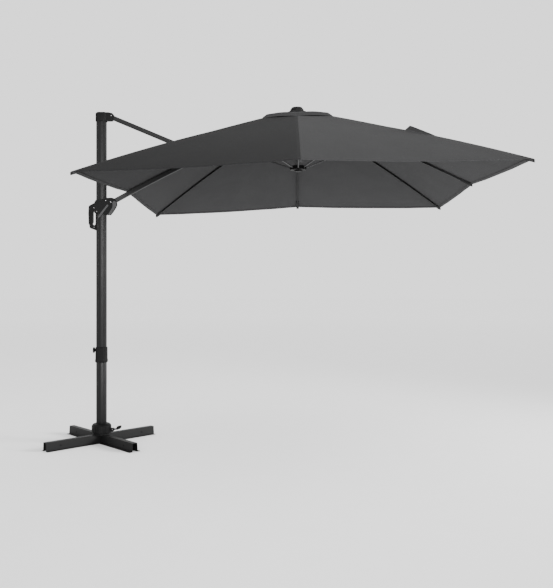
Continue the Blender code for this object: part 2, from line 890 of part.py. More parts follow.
def rib_side(corner):
    """Side view of a rib: hinge eye, bowed bar, bracket down to the strut's pivot."""
    far = CORNER_TIP_R if corner else MID_TIP_R
    steps = 10 if corner else 8
    first = HINGE_R + 0.016
    stations = [first + (far - first) * k / steps for k in range(steps + 1)]
    top = [(r, rib_line(corner, r) + RIB_HALF_H) for r in stations]
    under = [(r, rib_line(corner, r) - RIB_HALF_H) for r in stations]
    low = [p for p in under if p[0] < KNEE[0] - 0.040]
    high = [p for p in under if p[0] > KNEE[0] + 0.040]

    def bottom(r):
        return (r, rib_line(corner, r) - RIB_HALF_H)

    bracket = (
        [bottom(KNEE[0] - 0.034)]
        + arc(KNEE, 0.0105, 200, 340, 6)
        + [bottom(KNEE[0] + 0.034)]
    )
    eye = arc(HINGE, 0.009, 270, 90, 8)
    return eye + top + high[::-1] + bracket[::-1] + low[::-1]


def strut_frame(angle):
    """X from the strut's knee to the runner, Z square to it, in the rib's plane."""
    knee, foot = Vector((KNEE[0], 0, KNEE[1])), Vector((RUNNER[0], 0, RUNNER[1]))
    run = (foot - knee).normalized()
    return spoke(angle) @ Matrix(
        (
            (run.x, 0, -run.z, knee.x),
            (0, 1, 0, 0),
            (run.z, 0, run.x, knee.z),
            (0, 0, 0, 1),
        )
    )


rib_bodies = {}
for angle in RIB_ANGLES:
    corner = angle % 90 != 0
    hinge = on_rib(angle, HINGE)
    rib_bodies[angle] = body(f"rib_{angle:03d}", hinge, crown)
    rib = prism(f"rib_{angle:03d}", rib_side(corner), -RIB_HALF_T, RIB_HALF_T, spoke(angle))
    cut(
        rib,
        rod(f"cut_rib_eye_{angle}", HINGE, 0.0032, 0.02, 12, spoke(angle)),
        rod(f"cut_rib_knee_{angle}", KNEE, 0.0032, 0.02, 12, spoke(angle)),
    )
    piece(rib, rib_bodies[angle], "powder_coat")

    frame = strut_frame(angle)
    strut_body = body(f"strut_{angle:03d}", on_rib(angle, KNEE), rib_bodies[angle])
    side = (
        arc((0.0, 0.0), 0.0075, 90, 270, 6)
        + [(0.050, -0.0055)]
        + arc((STRUT_LENGTH, 0.0), 0.0078, -45, 45, 6)
        + [(0.050, 0.0055)]
    )
    strut = prism(f"strut_{angle:03d}", side, -0.0095, 0.0095, frame)
    for sign in (-1, 1):
        low, high = sorted((sign * 0.0048, sign * 0.02))
        cut(
            strut,
            slab(
                f"cut_strut_side_{angle}_{sign + 1}",
                (0.075, low, -0.03),
                (0.70, high, 0.03),
                frame,
            ),
        )
    cut(
        strut,
        slab(
            f"cut_strut_fork_{angle}",
            (-0.03, -0.0062, -0.03),
            (0.052, 0.0062, 0.03),
            frame,
        ),
        rod(f"cut_strut_foot_{angle}", (STRUT_LENGTH, 0.0), 0.0032, 0.02, 12, frame),
    )
    join(strut, rod(f"add_strut_pin_{angle}", (0.0, 0.0), 0.003, 0.0080, 12, frame))
    piece(strut, strut_body, "strut_metal")
    if angle == 0:
        runner_body = body("runner", on_rib(0, RUNNER), strut_body)

runner = lathe(
    "runner",
    [
        (0.030, RUNNER[1] - 0.030),
        (0.036, RUNNER[1] - 0.017),
        (0.070, RUNNER[1] - 0.016),
        (0.070, RUNNER[1] + 0.014),
        (0.064, RUNNER[1] + 0.017),
    ],
    48,
    place=CANOPY,
)
for angle in RIB_ANGLES:
    cut(
        runner,
        slab(
            f"cut_runner_notch_{angle}",
            (0.0440, -0.0056, RUNNER[1] - 0.05),
            (0.100, 0.0056, RUNNER[1] + 0.05),
            spoke(angle),
        ),
    )
for angle in RIB_ANGLES:
    join(runner, rod(f"add_runner_pin_{angle}", RUNNER, 0.003, 0.0080, 12, spoke(angle)))
piece(runner, runner_body, "black_plastic")

# ---- canopy cloth -------------------------------------------------------------------------
TO_CANOPY = CANOPY.inverted()


def arm_cover():
    """The line of the arm's upper face, as (distance from the canopy axis, height)."""
    line = []
    for k in range(41):
        share = k / 40
        top = along(PIVOT_C, PIVOT_D, share, arm_offset(share) + TUBE_HALF_Z)
        spot = TO_CANOPY @ top
        line.append((-spot.x, spot.z))
    return sorted(line)


ARM_COVER = arm_cover()


def read_line(line, r):
    for (r0, z0), (r1, z1) in zip(line, line[1:]):
        if r <= r1:
            return z0 + (z1 - z0) * (r - r0) / (r1 - r0)
    return line[-1][1]


def seam_height(angle, r):
    if angle == 180:
        return read_line(ARM_COVER, r) + CLOTH_LIFT
    return rib_line(angle % 90 != 0, r) + RIB_HALF_H + CLOTH_LIFT


VENT_SHAPE = ((0.0, 1.00), (0.06, 0.985), (0.20, 0.84), (0.50, 0.56), (0.76, 0.28))
VENT_TOP = 0.0352
MAIN_SHARES = (1.0, 0.86, 0.72, 0.58, 0.44, 0.31, 0.20, HOLE_SHARE)


def cloth_line(angle):
    """The cloth over one rib, from the hem in to the vent hole and back over the vent cap."""
    corner = angle % 90 != 0
    reach = HALF_SIDE * math.sqrt(2) if corner else MID_REACH
    vent_r = VENT_CORNER_R if corner else VENT_MID_R
    vent_z = -0.079 if corner else -0.046
    points = [(s * reach, seam_height(angle, s * reach)) for s in MAIN_SHARES]
    hole_r, hole_z = points[-1]
    points += [
        (hole_r - 0.004, hole_z + 0.005),
        (hole_r + 0.003, hole_z + 0.010),
        (vent_r - 0.007, vent_z - 0.010),
        (vent_r, vent_z - 0.0045),
    ]
    inner = 0.030
    for share, height in reversed(VENT_SHAPE[1:]):
        points.append(
            (inner + (vent_r - inner) * share, vent_z + (VENT_TOP - vent_z) * height)
        )
    points.insert(12, (vent_r - 0.006, vent_z + 0.0015))
    points.append((inner, VENT_TOP))
    place = spoke(angle)
    return [place @ Vector((r, 0.0, z)) for r, z in points]


LINES = {angle: cloth_line(angle) for angle in PANEL_ANGLES}
SIDE_STEPS = (-0.5, -0.25, 0.0, 0.25, 0.5)


def panel_grid(angle):
    """Rows from hem to crown; columns from one half seam to the other."""
    own = LINES[angle]
    grid = []
    down = CANOPY.to_3x3() @ Vector((0, 0, -1))
    for row, spot in enumerate(own):
        line = []
        share = MAIN_SHARES[row] if row < len(MAIN_SHARES) else 0.0
        for u in SIDE_STEPS:
            other = LINES[(angle + (45 if u > 0 else -45)) % 360][row]
            point = spot.lerp(other, abs(u))
            sag = CLOTH_SAG * share * 4 * abs(u) * (1 - abs(u))
            if row >= len(MAIN_SHARES) + 2:
                sag = -0.006 * 4 * abs(u) * (1 - abs(u)) * (row < len(own) - 2)
            line.append(point + down * sag)
        for edge, inside in ((0, 1), (-1, -2)):
            step = (line[inside] - line[edge]).normalized()
            line[edge] = line[edge] + step * GAP
        grid.append(line)
    return grid


def cloth_solid(name, grid, thickness):
    """A closed skin around a grid of points, half the thickness to each side."""
    rows, cols = len(grid), len(grid[0])
    shifts = []
    for i in range(rows):
        for j in range(cols):
            a = grid[min(i + 1, rows - 1)][j] - grid[max(i - 1, 0)][j]
            b = grid[i][min(j + 1, cols - 1)] - grid[i][max(j - 1, 0)]
            shifts.append(a.cross(b).normalized() * (thickness / 2))
    flat = [p for row in grid for p in row]
    points = [p + s for p, s in zip(flat, shifts)] + [p - s for p, s in zip(flat, shifts)]
    total = rows * cols
    faces = []
    for i in range(rows - 1):
        for j in range(cols - 1):
            k = i * cols + j
            quad = (k, k + 1, k + cols + 1, k + cols)
            faces.append(quad)
            faces.append(tuple(v + total for v in reversed(quad)))
    rim = [j for j in range(cols)]
    rim += [i * cols + cols - 1 for i in range(1, rows)]
    rim += [(rows - 1) * cols + j for j in range(cols - 2, -1, -1)]
    rim += [i * cols for i in range(rows - 2, 0, -1)]
    for k, v in enumerate(rim):
        w = rim[(k + 1) % len(rim)]
        faces.append((w, v, v + total, w + total))
    return mesh_object(name, points, faces)


for angle in PANEL_ANGLES:
    panel = cloth_solid(f"canopy_panel_{angle:03d}", panel_grid(angle), CLOTH)
    if angle == 180:
        elbow = TO_CANOPY @ PIVOT_B
        opening = slab(
            "cut_panel_slot",
            (elbow.x - 0.185, -0.0260, elbow.z - 0.12),
            (elbow.x + 0.035, 0.0260, elbow.z + 0.25),
            CANOPY,
        )
        cut(panel, opening)
    holder = arm if angle == 180 else rib_bodies[angle]
    piece(panel, holder, "cloth")
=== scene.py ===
"""Looks for the cantilever parasol: cloth canopy, mast profile, fittings, materials, stage."""

import json
import math

import bpy
from mathutils import Matrix, Vector


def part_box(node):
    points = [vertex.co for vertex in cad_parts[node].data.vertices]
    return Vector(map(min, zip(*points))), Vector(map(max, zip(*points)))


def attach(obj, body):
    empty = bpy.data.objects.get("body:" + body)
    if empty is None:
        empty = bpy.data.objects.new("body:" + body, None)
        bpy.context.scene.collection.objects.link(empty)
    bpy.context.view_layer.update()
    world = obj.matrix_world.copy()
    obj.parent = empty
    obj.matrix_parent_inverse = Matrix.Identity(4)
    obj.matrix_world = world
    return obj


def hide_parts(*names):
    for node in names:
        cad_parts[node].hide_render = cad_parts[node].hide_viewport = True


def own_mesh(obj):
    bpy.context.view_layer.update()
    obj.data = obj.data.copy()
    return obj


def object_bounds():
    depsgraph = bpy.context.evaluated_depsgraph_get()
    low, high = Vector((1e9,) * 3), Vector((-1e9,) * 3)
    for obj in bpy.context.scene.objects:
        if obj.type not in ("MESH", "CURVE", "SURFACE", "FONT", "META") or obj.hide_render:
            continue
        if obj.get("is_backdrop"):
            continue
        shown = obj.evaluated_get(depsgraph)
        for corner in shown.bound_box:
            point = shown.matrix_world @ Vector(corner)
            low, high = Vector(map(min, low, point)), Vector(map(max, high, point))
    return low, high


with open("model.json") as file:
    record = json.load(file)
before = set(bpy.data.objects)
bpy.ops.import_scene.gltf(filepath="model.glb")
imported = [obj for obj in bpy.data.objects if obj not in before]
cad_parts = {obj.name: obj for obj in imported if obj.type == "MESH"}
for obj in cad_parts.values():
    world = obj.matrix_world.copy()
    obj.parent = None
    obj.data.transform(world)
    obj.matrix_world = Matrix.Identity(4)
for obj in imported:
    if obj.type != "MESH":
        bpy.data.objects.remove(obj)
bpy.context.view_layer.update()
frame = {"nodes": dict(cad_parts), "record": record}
NODES = frame["nodes"]

# ---- the CAD part's own sizes, in metres -------------------------------------------
MAST_HALF_X, MAST_HALF_Y, MAST_CORNER = 0.043, 0.030, 0.019
PIVOT_X, PIVOT_TOP, PIVOT_LOW, CROWN_X = 0.090, 2.797, 2.056, 1.678
TUBE_HALF_Y, TUBE_HALF_Z, ARM_BOW = 0.015, 0.019, 0.030
CANOPY_TILT, HALF_SIDE, MID_REACH, HINGE_R = 0.024, 1.500, 1.476, 0.060
MID_ROOT_Z, MID_TIP_Z, MID_BOW, MID_TIP_R = -0.004, -0.632, 0.0305, 1.462
CORNER_ROOT_Z, CORNER_TIP_Z, CORNER_BOW, CORNER_TIP_R = -0.014, -0.683, 0.0310, 2.124
RIB_HALF_H, CLOTH_LIFT, CLOTH_SAG = 0.0095, 0.0048, 0.012
VENT_MID_R, VENT_CORNER_R, HOLE_SHARE, VENT_TOP = 0.284, 0.402, 0.129, 0.0352
RIB_ANGLES = (0, 45, 90, 135, 225, 270, 315)
PANEL_ANGLES = (0, 45, 90, 135, 180, 225, 270, 315)
PIVOT_A = Vector((PIVOT_X, 0.0, PIVOT_TOP))
PIVOT_C = Vector((PIVOT_X, 0.0, PIVOT_LOW))
PIVOT_D = Vector((CROWN_X, 0.0, PIVOT_TOP))
PIVOT_B = (PIVOT_C + PIVOT_D) / 2
CANOPY = Matrix.Translation(PIVOT_D) @ Matrix.Rotation(-CANOPY_TILT, 4, "Y")


# ---- materials -------------------------------------------------------------------
GREY_SCALE, COOL_CAST = 0.62, 0.02
# the pointiness range drives edge wear together with a painted highlight on sharp edges
FLAT_TO_EDGE = (-7.2, 7.8)  # what the pointiness range 0 to 1 is stretched to, for wear
STITCH_FROM_SEAM, STITCH_FROM_HEM = (0.010, 0.017), (0.006, 0.024)
STITCH_HALF, STITCHES_PER_METRE, STITCH_SHARE = 0.0008, 210.0, 0.62


class Nodes:
    """A short way to write a node tree."""

    def __init__(self, name):
        self.material = bpy.data.materials.new(name)
        self.material.use_nodes = True
        self.tree = self.material.node_tree
        self.shader = self.tree.nodes["Principled BSDF"]

    def add(self, kind, settings=None, **inputs):
        """A node with its settings; inputs are values or sockets, by name or as i0, i1, ..."""
        node = self.tree.nodes.new("ShaderNode" + kind)
        for key, value in (settings or {}).items():
            setattr(node, key, value)
        for key, value in inputs.items():
            self.put(node, key.replace("_", " "), value)
        return node

    def put(self, node, key, value):
        socket = node.inputs[int(key[1:])] if key[0] == "i" and key[1:].isdigit() else node.inputs[key]
        if isinstance(value, bpy.types.NodeSocket):
            self.tree.links.new(value, socket)
        else:
            socket.default_value = value

    def math(self, operation, a, b=0.0, c=0.0):
        node = self.add("Math", {"operation": operation})
        for k, value in enumerate((a, b, c)):
            self.put(node, f"i{k}", value)
        return node.outputs[0]

    def place(self, scale=(1, 1, 1)):
        """The piece's own coordinates in metres, stretched by a scale."""
        coords = self.add("TexCoord")
        return self.stretch(coords.outputs["Object"], scale)

    def stretch(self, coords, scale):
        return self.add("Mapping", Vector=coords, Scale=scale).outputs[0]

    def noise(self, where, scale, detail=3.0, rough=0.55):
        node = self.add("TexNoise", Vector=where, Scale=scale, Detail=detail, Roughness=rough)
        return node.outputs["Fac"]

    def ramp(self, value, stops):
        node = self.add("ValToRGB", Fac=value)
        elements = node.color_ramp.elements
        while len(elements) < len(stops):
            elements.new(0.5)
        for element, (position, colour) in zip(elements, stops):
            element.position = position
            element.color = (*colour, 1.0)
        return node.outputs["Color"]

    def blend(self, base, colour, factor):
        """One socket's colour, mixed with a fixed colour by a factor."""
        node = self.add("Mix", {"data_type": "RGBA"}, Factor=factor)
        self.tree.links.new(base, node.inputs[6])
        node.inputs[7].default_value = (*colour, 1)
        return node.outputs[2]

    def scaled(self, vector, factor):
        node = self.add("VectorMath", {"operation": "SCALE"})
        self.tree.links.new(vector, node.inputs[0])
        self.tree.links.new(factor, node.inputs["Scale"])
        return node.outputs[0]

    def span(self, value, low, high):
        node = self.add("MapRange", Value=value, To_Min=low, To_Max=high)
        return node.outputs[0]

    def bump(self, height, strength, distance, before=None):
        node = self.add("Bump", Height=height, Strength=strength, Distance=distance)
        if before is not None:
            self.put(node, "Normal", before)
        return node.outputs[0]

    def finish(self, **sockets):
        for key, value in sockets.items():
            self.put(self.shader, key.replace("_", " "), value)
        return self.material


def grey(level, warm=0.0):
    """A grey that is slightly cool, or warm by a share."""
    level *= GREY_SCALE
    return (level * (1 + warm), level, level * (1 - warm * 0.6 + COOL_CAST))


def worn_and_highlit_edge(n):
    """Low on flats, 0 in corners and 1 on sharp outer edges, broken up by noise."""
    # edge wear and a painted highlight: sharp outer edges are drawn paler, as if they caught the light
    geometry = n.add("NewGeometry")
    edge = n.span(geometry.outputs["Pointiness"], *FLAT_TO_EDGE)
    broken = n.math("MULTIPLY", edge, n.noise(n.place(), 90.0, 4.0))
    return n.add("Clamp", Value=broken).outputs[0]


def powder_coat(name, level, rough=0.5, dust=0.25):
    """Satin powder coat: orange peel, faint mottling, light rub marks, settled dust."""
    n = Nodes(name)
    where = n.place()
    mottle = n.noise(where, 7.0, 5.0)
    peel = n.noise(where, 900.0, 2.0, 0.4)
    rubs = n.noise(n.place((2.0, 2.0, 60.0)), 6.0, 6.0, 0.7)
    base = n.ramp(mottle, [(0.25, grey(level * 0.86)), (0.75, grey(level * 1.18))])
    rub_mask = n.ramp(rubs, [(0.62, (0, 0, 0)), (0.80, (1, 1, 1))])
    rubbed = n.blend(base, grey(level * 1.9), n.math("MULTIPLY", rub_mask, 0.30))
    geometry = n.add("NewGeometry")
    up = n.add("SeparateXYZ", Vector=geometry.outputs["Normal"]).outputs["Z"]
    settled = n.math("MULTIPLY", n.add("Clamp", Value=up).outputs[0], n.noise(where, 22.0, 6.0))
    dusty = n.blend(rubbed, grey(0.10, 0.06), n.math("MULTIPLY", settled, dust))
    # edge wear and painted highlight: paler on sharp outer edges
    edge_worn_and_highlit = n.blend(dusty, grey(level * 2.6), n.math("MULTIPLY", worn_and_highlit_edge(n), 0.5))
    return n.finish(
        Base_Color=edge_worn_and_highlit,
        Roughness=n.span(mottle, rough - 0.08, rough + 0.12),
        Specular_IOR_Level=0.17,
        Normal=n.bump(peel, 0.16, 0.0006),
    )


def anodised(name, level):
    """Drawn aluminium: fine lines along the extrusion under a grey coat."""
    n = Nodes(name)
    lines = n.noise(n.place((260.0, 260.0, 1.2)), 3.0, 4.0, 0.6)
    broad = n.noise(n.place((3.0, 3.0, 0.7)), 3.0, 4.0)
    both = n.math("ADD", n.math("MULTIPLY", lines, 0.55), n.math("MULTIPLY", broad, 0.45))
    colour = n.ramp(both, [(0.30, grey(level * 0.80)), (0.70, grey(level * 1.25))])
    # edge wear and painted highlight: paler on sharp outer edges
    edge_worn_and_highlit = n.blend(colour, grey(level * 2.4), n.math("MULTIPLY", worn_and_highlit_edge(n), 0.4))
    return n.finish(
        Base_Color=edge_worn_and_highlit,
        Roughness=n.span(both, 0.34, 0.52),
        Metallic=0.26,
        Specular_IOR_Level=0.19,
        Normal=n.bump(lines, 0.10, 0.0004),
    )


def moulded(name, level, rough=0.5):
    """Moulded nylon: spark texture, with edges slightly polished and painted paler as a highlight."""
    n = Nodes(name)
    where = n.place()
    grain = n.add("TexVoronoi", Vector=where, Scale=1400.0).outputs["Distance"]
    cloud = n.noise(where, 16.0, 5.0)
    colour = n.ramp(cloud, [(0.3, grey(level * 0.82)), (0.7, grey(level * 1.22))])
    # edge wear and painted highlight: paler on sharp outer edges
    edge_worn_and_highlit = n.blend(colour, grey(level * 2.4 + 0.01), n.math("MULTIPLY", worn_and_highlit_edge(n), 0.55))
    return n.finish(
        Base_Color=edge_worn_and_highlit,
        Roughness=n.span(cloud, rough - 0.06, rough + 0.10),
        Specular_IOR_Level=0.08,
        Normal=n.bump(grain, 0.22, 0.0005),
    )


def steel(name):
    """Zinc plated steel with turned rings and small pale spangle."""
    n = Nodes(name)
    rings = n.noise(n.place((40.0, 900.0, 40.0)), 2.0, 3.0)
    spangle = n.add("TexVoronoi", Vector=n.place(), Scale=500.0).outputs["Color"]
    level = n.add("RGBToBW", Color=spangle).outputs[0]
    both = n.math("ADD", n.math("MULTIPLY", rings, 0.5), n.math("MULTIPLY", level, 0.5))
    colour = n.ramp(both, [(0.2, grey(0.34)), (0.8, grey(0.56, 0.01))])
    return n.finish(
        Base_Color=colour,
        Roughness=n.span(both, 0.26, 0.46),
        Metallic=0.9,
        Normal=n.bump(rings, 0.15, 0.0004),
    )


def woven(name, level, thread=0.0016, stitched=True, clear=0.0):
    """Plain weave in metres from the UVs, with slubs, soft creases and stitch rows."""
    n = Nodes(name)
    coords = n.add("TexCoord").outputs["UV"]
    parts = n.add("SeparateXYZ", Vector=coords)
    u, v = parts.outputs["X"], parts.outputs["Y"]
    turn = math.pi / thread
    warp = n.math("SINE", n.math("MULTIPLY", u, turn))
    weft = n.math("SINE", n.math("MULTIPLY", v, turn))
    plain = n.math("MULTIPLY", warp, weft)
    fill = n.math("ABSOLUTE", plain)
    across = n.stretch(coords, (420.0, 5.0, 1.0))
    lengthways = n.stretch(coords, (5.0, 420.0, 1.0))
    slub = n.math("ADD", n.noise(across, 1.0, 3.0), n.noise(lengthways, 1.0, 3.0))
    cloud = n.noise(coords, 2.6, 5.0, 0.6)
    tone = n.math("ADD", n.math("MULTIPLY", slub, 0.32), n.math("MULTIPLY", cloud, 0.36))
    colour = n.ramp(tone, [(0.30, grey(level * 0.80)), (0.70, grey(level * 1.22))])
    out = n.blend(colour, grey(level * 1.5), n.math("MULTIPLY", fill, 0.22))
    height = n.math("MULTIPLY", fill, 0.5)
    if stitched:
        across, inward, low, high = (
            n.add("Attribute", {"attribute_name": key}).outputs["Fac"]
            for key in ("across", "inward", "painted_light_low", "painted_light_high")
        )
        # painted light and shade: each side of a rib takes its half gore's factor on the colour
        side = n.math("GREATER_THAN", across, 0.0)
        painted_light_here = n.math("ADD", low, n.math("MULTIPLY", side, n.math("SUBTRACT", high, low)))
        out = n.scaled(out, painted_light_here)
        from_rib = n.math("ABSOLUTE", across)
        rows = [n.math("COMPARE", from_rib, gap, STITCH_HALF) for gap in STITCH_FROM_SEAM]
        rows += [n.math("COMPARE", inward, gap, STITCH_HALF) for gap in STITCH_FROM_HEM]
        seam = rows[0]
        for row in rows[1:]:
            seam = n.math("MAXIMUM", seam, row)
        step = n.math("FRACT", n.math("MULTIPLY", n.math("ADD", u, v), STITCHES_PER_METRE))
        dash = n.math("MULTIPLY", n.math("LESS_THAN", step, STITCH_SHARE), seam)
        out = n.blend(out, grey(level * 2.1), n.math("MULTIPLY", dash, 0.40))
        height = n.math("SUBTRACT", height, n.math("MULTIPLY", seam, 0.8))
        # painted light: the underside is drawn twice as pale as the top, so that it looks lit from
        # below
        facing_z_for_painted_light = n.add("SeparateXYZ", Vector=n.add("TexCoord").outputs["Normal"]).outputs["Z"]
        out = n.scaled(out, n.math("ADD", 1.0, n.math("LESS_THAN", facing_z_for_painted_light, 0.0)))
    creases = n.noise(n.stretch(coords, (3.0, 1.0, 1.0)), 5.0, 4.0)
    soft = n.bump(creases, 0.14, 0.006)
    sockets = dict(
        Base_Color=out,
        Roughness=n.span(tone, 0.78, 0.95),
        Normal=n.bump(height, 0.35, 0.0006, soft),
        Specular_IOR_Level=0.035,
        Sheen_Weight=0.01,
    )
    if clear:
        holes = n.math("GREATER_THAN", fill, clear)
        sockets["Alpha"] = n.math("SUBTRACT", 1.0, n.math("MULTIPLY", holes, 0.9))
    return n.finish(**sockets)


def floor_material():
    """A pale floor that gets paler away from the object, so that no horizon shows."""
    n = Nodes("stage_floor")
    away = n.add("VectorMath", {"operation": "LENGTH"}, i0=n.place()).outputs["Value"]
    paler = n.add("MapRange", Value=away, From_Min=3.0, From_Max=24.0, To_Min=0.85, To_Max=0.98)
    speck = n.span(n.noise(n.place(), 3.0, 6.0), -0.015, 0.015)
    level = n.math("ADD", paler.outputs[0], speck)
    shade = n.add("CombineColor", Red=level, Green=level, Blue=level)
    return n.finish(Base_Color=shade.outputs[0], Roughness=0.9, Specular_IOR_Level=0.1)


ARM_COAT = powder_coat("arm_coat", 0.016, 0.46, 0.10)
RIB_COAT = powder_coat("rib_coat", 0.007, 0.50, 0.03)
BASE_COAT = powder_coat("base_coat", 0.0030, 0.56, 0.02)
MAST_METAL = anodised("mast_anodised", 0.0064)
STRUT_METAL = anodised("strut_anodised", 0.065)
BLACK = moulded("black_nylon", 0.0020)
GREY = moulded("grey_nylon", 0.045, 0.42)
STEEL = steel("zinc_steel")
CLOTH = woven("canopy_cloth_weave", 0.0300)
CLOTH_TRIM = woven("canopy_trim_weave", 0.034, 0.0022, stitched=False)
# the vent net is near black: painted shade for the open gap under the vent cap
SHADE_NET = woven("vent_shade_net_weave", 0.006, 0.0030, stitched=False, clear=0.45)


# ---- mesh helpers ------------------------------------------------------------------
def wear(obj, material):
    """Puts one material on a piece, in place of any it had."""
    obj.data.materials.clear()
    obj.data.materials.append(material)
    return obj


def mesh_piece(name, points, faces, material, uvs=None):
    """A smooth-shaded piece, with UVs in metres for cloth."""
    mesh = bpy.data.meshes.new(name)
    mesh.from_pydata([tuple(p) for p in points], [], faces)
    if uvs is not None:
        layer = mesh.uv_layers.new(name="metres")
        for loop in mesh.loops:
            layer.data[loop.index].uv = uvs[loop.vertex_index]
    mesh.shade_smooth()
    made = bpy.data.objects.new(name, mesh)
    bpy.context.scene.collection.objects.link(made)
    return wear(made, material)


def round_edges(obj, width, segments):
    """Rounds the edges of a piece as a mould, a press or a hem does."""
    bevel = obj.modifiers.new("round", "BEVEL")
    bevel.width, bevel.segments, bevel.limit_method = width, segments, "ANGLE"
    return bevel


def soften(obj, width):
    """Merges the split corners of a CAD node, rounds its edges and evens out its shading."""
    weld = obj.modifiers.new("weld", "WELD")
    weld.merge_threshold = 0.00005
    round_edges(obj, width, 2).angle_limit = 0.6
    obj.data.shade_smooth()
    if obj.data.has_custom_normals:
        bpy.context.view_layer.objects.active = obj
        with bpy.context.temp_override(object=obj, active_object=obj):
            bpy.ops.mesh.customdata_custom_splitnormals_clear()
    smooth = obj.modifiers.new("normals", "WEIGHTED_NORMAL")
    smooth.keep_sharp = False


def tube_mesh(name, rings, material, closed_ends=True):
    """A skin over a row of rings that have the same number of points."""
    count = len(rings[0])
    points = [p for ring in rings for p in ring]
    faces = []
    for i in range(len(rings) - 1):
        for k in range(count):
            n = (k + 1) % count
            a, b = i * count, (i + 1) * count
            faces.append((a + k, a + n, b + n, b + k))
    if closed_ends:
        faces += [tuple(range(count))[::-1], tuple(range(len(points) - count, len(points)))]
    return mesh_piece(name, points, faces, material)


def circle(r, z, place, count):
    """Points round the placed Z axis at one radius and height."""
    turns = [math.tau * k / count for k in range(count)]
    return [place @ Vector((r * math.cos(a), r * math.sin(a), z)) for a in turns]


def turned(name, profile, place, material, count):
    """A turned piece: (radius, height) pairs about the placed Z."""
    made = tube_mesh(name, [circle(r, z, place, count) for r, z in profile], material)
    round_edges(made, 0.0005, 2)
    return made


def rounded(half_x, half_y, corner, steps):
    """A rectangle about the origin with round corners of the given number of steps."""
    points = []
    for sx, sy, start in ((1, 1, 0), (-1, 1, 1), (-1, -1, 2), (1, -1, 3)):
        for k in range(steps + 1):
            a = math.pi / 2 * (start + k / steps)
            x = sx * (half_x - corner) + corner * math.cos(a)
            y = sy * (half_y - corner) + corner * math.sin(a)
            points.append((x, y))
    return points


def to_line(direction, spot):
    """Places a shape drawn about Z so that Z follows a direction from a spot."""
    turn = Vector(direction).to_track_quat("Z", "Y").to_matrix().to_4x4()
    return Matrix.Translation(Vector(spot)) @ turn


def screw_head(name, spot, direction, body, radius):
    """A pan head with a round recess."""
    profile = [
        (radius, -0.001),
        (radius, radius * 0.25),
        (radius * 0.86, radius * 0.48),
        (radius * 0.62, radius * 0.58),
        (radius * 0.55, radius * 0.30),
        (radius * 0.10, radius * 0.28),
    ]
    place = to_line(direction, spot)
    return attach(turned(name, profile, place, STEEL, 24), body)


# ---- finishes on the carried-over CAD nodes ---------------------------------------------
FINISH = {
    "base_metal": BASE_COAT,
    "mast_metal": MAST_METAL,
    "arm_metal": ARM_COAT,
    "strut_metal": STRUT_METAL,
    "black_plastic": BLACK,
    "grey_plastic": GREY,
    "pin_steel": STEEL,
    "canopy_cloth": CLOTH,
}
for entry in frame["record"]["subparts"]:
    node, slot_name = entry["node"], entry["material_slot"]
    if node.startswith("canopy_panel"):
        continue
    finish = FINISH[slot_name]
    if node.startswith("rib_"):
        finish = RIB_COAT
    elif node == "stay_tube":
        finish = BASE_COAT
    wear(NODES[node], finish)

for node, width in {
    "cross_bar_long": 0.0014,
    "cross_bar_near": 0.0014,
    "cross_bar_far": 0.0014,
    "mast_cap": 0.0016,
    "cheek_near": 0.0026,
    "cheek_far": 0.0026,
    "lift_handle": 0.0050,
    "release_lever": 0.0030,
    "stay_fork": 0.0010,
    "arm_lug": 0.0012,
    "foot_pedal": 0.0016,
    "pedal_bracket": 0.0010,
    "hub_housing": 0.0012,
    "mast_collar": 0.0010,
    "crown_hub": 0.0008,
    "runner": 0.0008,
}.items():
    soften(NODES[node], width)


# ---- mast: an extrusion with rounded sides and grooves --------------------------------------
GROOVE_CENTRE = 0.0205
GROOVE = (  # distance from the groove's centre line, depth
    (-0.0024, 0.0),
    (-0.0016, 0.0005),
    (-0.0008, 0.0009),
    (0.0008, 0.0009),
    (0.0016, 0.0005),
    (0.0024, 0.0),
)


def mast_profile():
    """The mast's outline, with a groove near each end of its two broad faces."""
    outline = []
    plain = rounded(MAST_HALF_X, MAST_HALF_Y, MAST_CORNER, 8)
    flat = MAST_HALF_X - MAST_CORNER
    for k, (x, y) in enumerate(plain):
        outline.append((x, y))
        following = plain[(k + 1) % len(plain)]
        if abs(x - following[0]) > flat:
            side = math.copysign(1, y)
            for centre in (side * GROOVE_CENTRE, -side * GROOVE_CENTRE):
                for shift, depth in GROOVE:
                    along = centre - side * shift
                    outline.append((along, side * (MAST_HALF_Y - depth)))
    return outline


PROFILE = mast_profile()
for node in ("lower_mast", "upper_mast"):
    low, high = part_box(node)
    rings = [
        [Vector((x * s, y * s, z)) for x, y in PROFILE]
        for z, s in ((low.z, 0.985), (low.z + 0.002, 1.0), (high.z - 0.002, 1.0), (high.z, 0.985))
    ]
    extrusion = tube_mesh(node + "_profile", rings, MAST_METAL)
    for polygon in extrusion.data.polygons:
        polygon.use_smooth = len(polygon.vertices) == 4
    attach(extrusion, "mast")
    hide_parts(node)


# ---- canopy cloth ----------------------------------------------------------------------------
TO_CANOPY = CANOPY.inverted()


def spoke(angle):
    """The canopy's frame turned to a rib: X runs out along the rib."""
    return CANOPY @ Matrix.Rotation(math.radians(angle), 4, "Z")


def rib_line(corner, reach):
    """Height of a rib's centre line in the canopy's frame."""
    root, tip, bow, far = (
        (CORNER_ROOT_Z, CORNER_TIP_Z, CORNER_BOW, CORNER_TIP_R)
        if corner
        else (MID_ROOT_Z, MID_TIP_Z, MID_BOW, MID_TIP_R)
    )
    share = (reach - HINGE_R) / (far - HINGE_R)
    return root + (tip - root) * share + 4 * bow * share * (1 - share)


def arm_point(share, offset=0.0):
    """A point of the bowed arm, from its pivot on the carriage to the crown."""
    run = PIVOT_D - PIVOT_C
    normal = Vector((-run.z, 0.0, run.x)).normalized()
    return PIVOT_C + run * share + normal * (4 * ARM_BOW * share * (1 - share) + offset)


